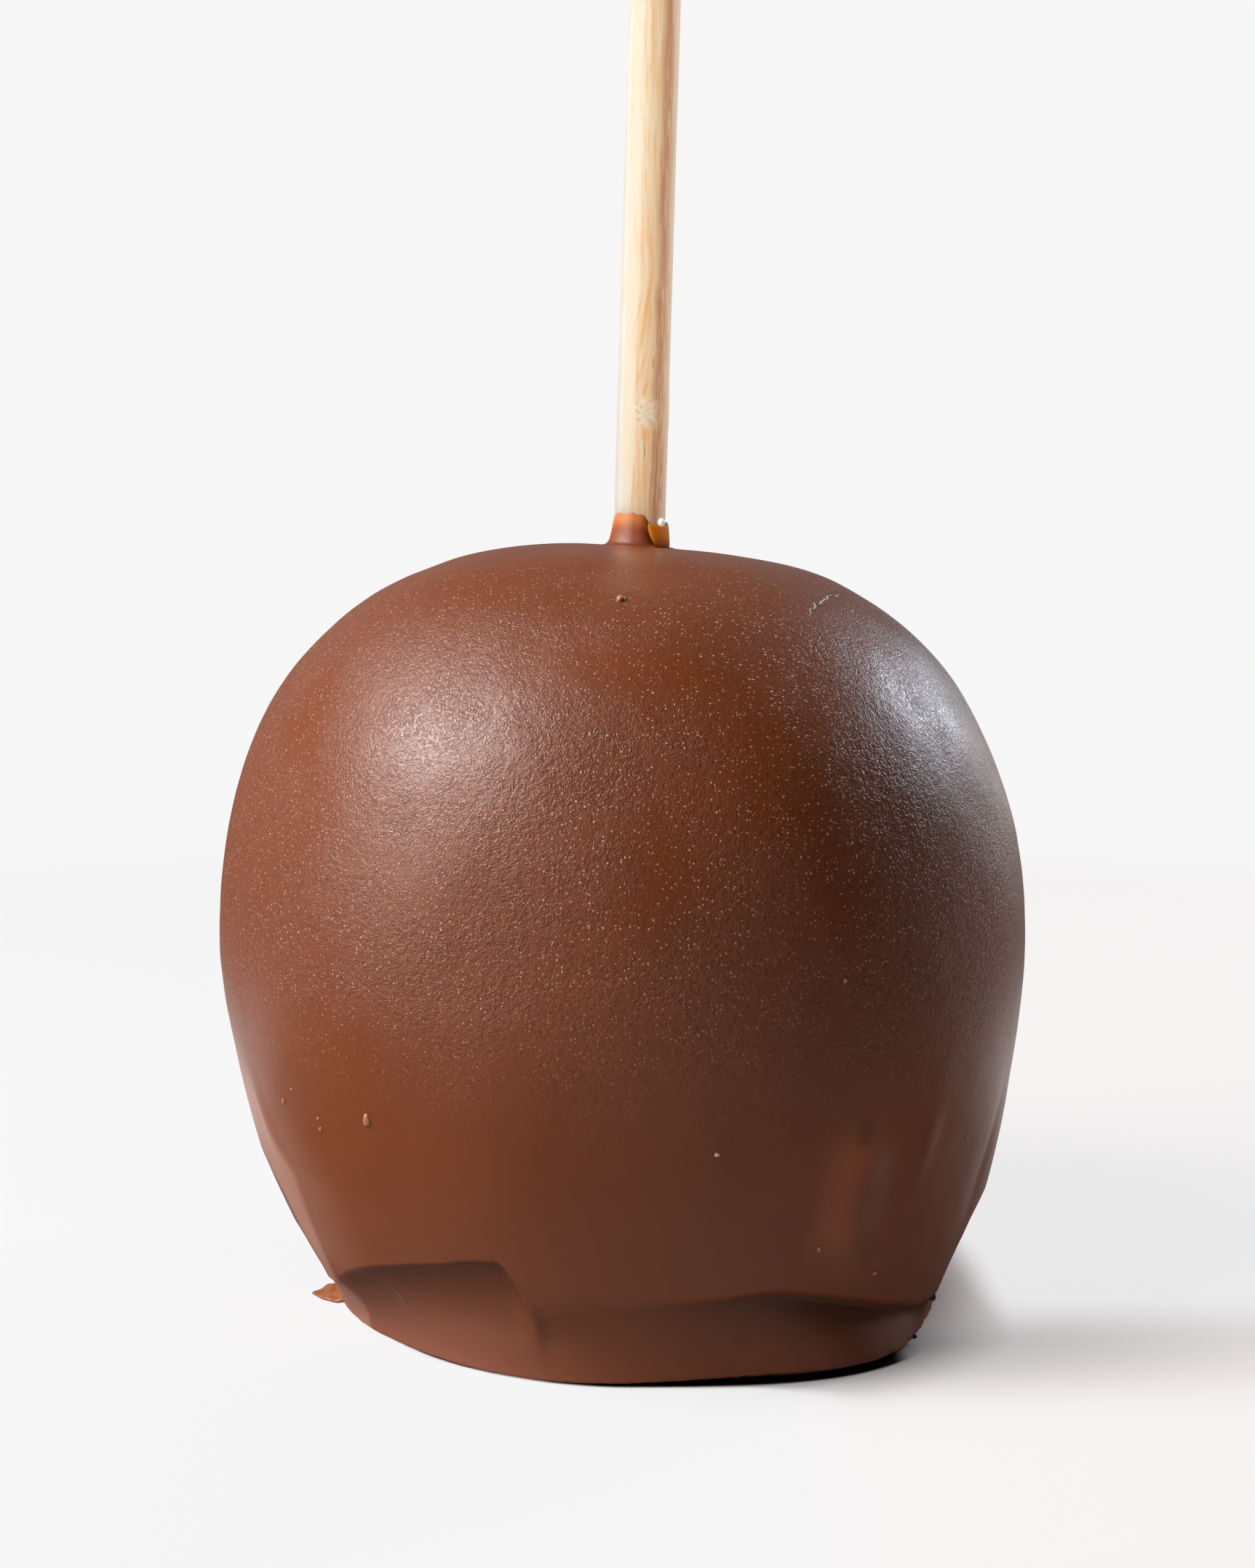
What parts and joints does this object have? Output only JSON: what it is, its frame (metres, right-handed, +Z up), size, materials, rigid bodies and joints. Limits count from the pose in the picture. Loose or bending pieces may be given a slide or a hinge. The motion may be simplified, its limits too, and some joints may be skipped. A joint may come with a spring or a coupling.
{
  "type": "chocolate caramel apple",
  "caption": "Caramel apple on a bamboo stick, dipped in milk chocolate, with a pooled flat foot and a caramel bead where the stick goes in.",
  "frame": {"origin": "on the table under the middle of the apple's widest belt", "axes": "+Z up along the stick, +Y from the shown front to the back, +X towards the apple's right flank, where the stick leans"},
  "size_m": [0.0932, 0.0932, 0.172],
  "materials": {
    "chocolate": "satin milk chocolate with fine wrinkles",
    "bamboo": "pale raw bamboo with long fibres",
    "caramel": "glossy amber caramel"
  },
  "bodies": {
    "root": {"coated_apple": "chocolate", "stick": "bamboo", "caramel_collar": "caramel"}
  },
  "joints": []
}
